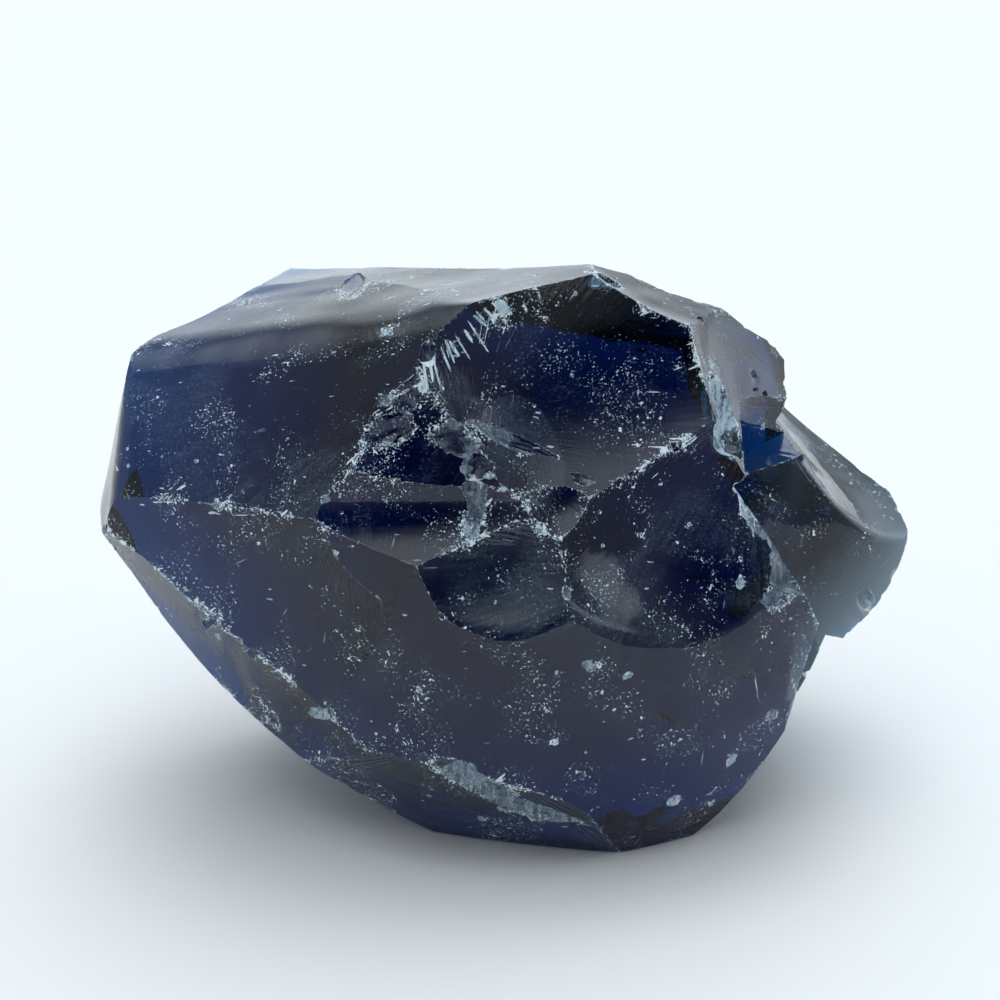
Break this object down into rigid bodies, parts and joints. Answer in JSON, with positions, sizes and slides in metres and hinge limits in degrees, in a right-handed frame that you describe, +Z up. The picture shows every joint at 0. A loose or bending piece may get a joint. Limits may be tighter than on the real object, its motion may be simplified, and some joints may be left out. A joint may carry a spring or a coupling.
{
  "type": "slag glass chunk",
  "caption": "Rough lump of dark clear blue glass with hollow shell-like fracture faces, sharp ridges and a thin wing at one end, resting on a flat base.",
  "frame": {"origin": "on the flat base the lump rests on, under its middle", "axes": "+X along the length, from the blunt left end to the thin wing; -Y towards the broad front; +Z up, away from the base"},
  "size_m": [0.1166, 0.0782, 0.0792],
  "materials": {
    "blue_glass": "polished fracture faces, clear dark blue right through, with white crushed glass along the ridges"
  },
  "bodies": {
    "root": {"glass_chunk": "blue_glass"}
  },
  "joints": []
}
